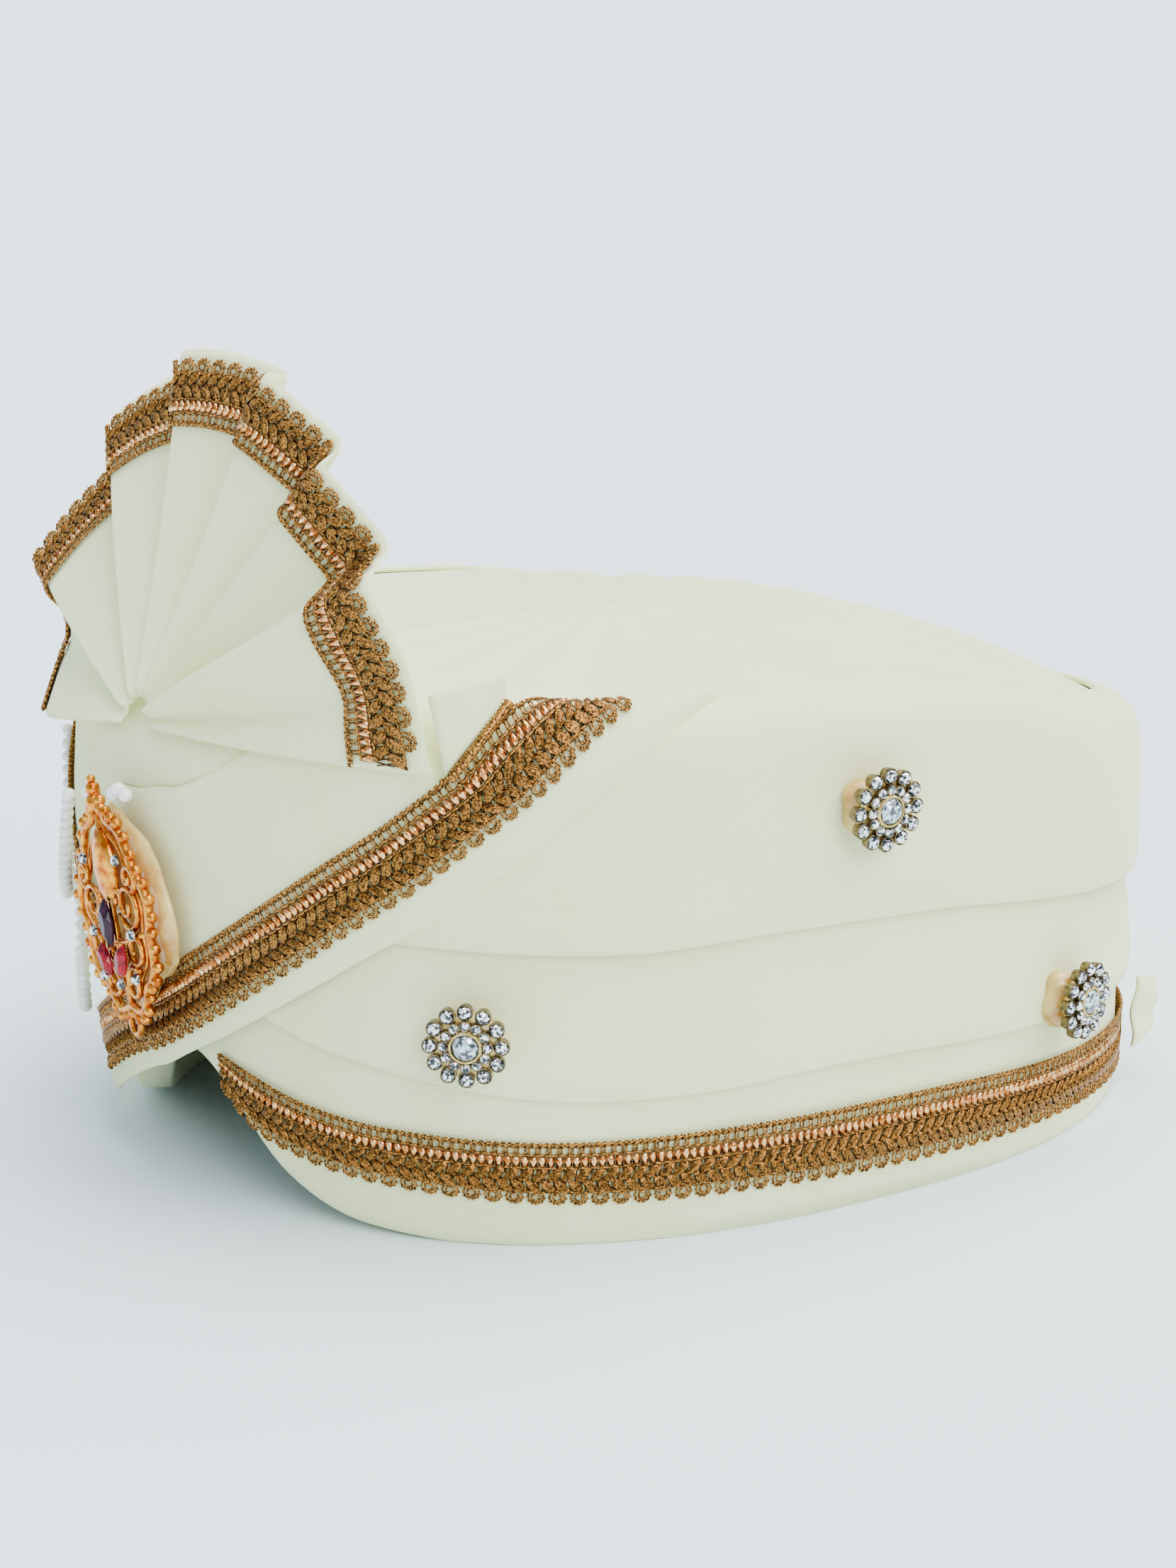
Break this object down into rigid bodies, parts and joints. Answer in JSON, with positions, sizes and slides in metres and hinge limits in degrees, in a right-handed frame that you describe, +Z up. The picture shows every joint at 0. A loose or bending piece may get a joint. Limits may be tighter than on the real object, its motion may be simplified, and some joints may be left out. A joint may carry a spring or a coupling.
{
  "type": "tied turban pagri",
  "caption": "Ready-to-wear cream cloth turban wound round an open head oval, with crossing lace-edged bands, a pleated fan, a pierced brooch, pearl swags and stone flowers.",
  "frame": {"origin": "centre of the bounding box, on the floor that the rim stands on", "axes": "+Z up through the crown, -Y out of the front where the fan and brooch are, +X the wearer's left"},
  "size_m": [0.2222, 0.2564, 0.1778],
  "materials": {
    "cream_cloth": "plain-weave cream cloth, matt",
    "gold_lace": "woven metal-thread lace, antique gold",
    "cast_gold": "cast and gilt, polished",
    "pale_gold": "pale gilt settings with clear cut stones",
    "amber_glue": "set hot glue, amber and glossy",
    "pearl": "pearl-coated beads",
    "violet_stone": "cut stone, dark violet",
    "red_stone": "cut stone, deep red"
  },
  "bodies": {
    "root": {"rim_band": "cream_cloth", "middle_wrap": "cream_cloth", "upper_wrap": "cream_cloth", "crown": "cream_cloth", "left_band": "cream_cloth", "right_band": "cream_cloth", "fan": "cream_cloth", "fan_corner": "cream_cloth", "cloth_tail": "cream_cloth", "left_band_lace": "gold_lace", "right_band_lace": "gold_lace", "rim_lace": "gold_lace", "fan_lace": "gold_lace", "left_front_flower": "pale_gold", "left_side_flower": "pale_gold", "left_back_flower": "pale_gold", "right_front_flower": "pale_gold", "right_side_flower": "pale_gold", "right_back_flower": "pale_gold", "left_front_glue": "amber_glue", "left_side_glue": "amber_glue", "left_back_glue": "amber_glue", "right_front_glue": "amber_glue", "right_side_glue": "amber_glue", "right_back_glue": "amber_glue", "brooch_glue": "amber_glue", "brooch": "cast_gold", "brooch_violet_stone": "violet_stone", "brooch_red_stone_left": "red_stone", "brooch_red_stone_right": "red_stone", "short_pearl_string": "pearl", "long_pearl_string": "pearl"}
  },
  "joints": []
}
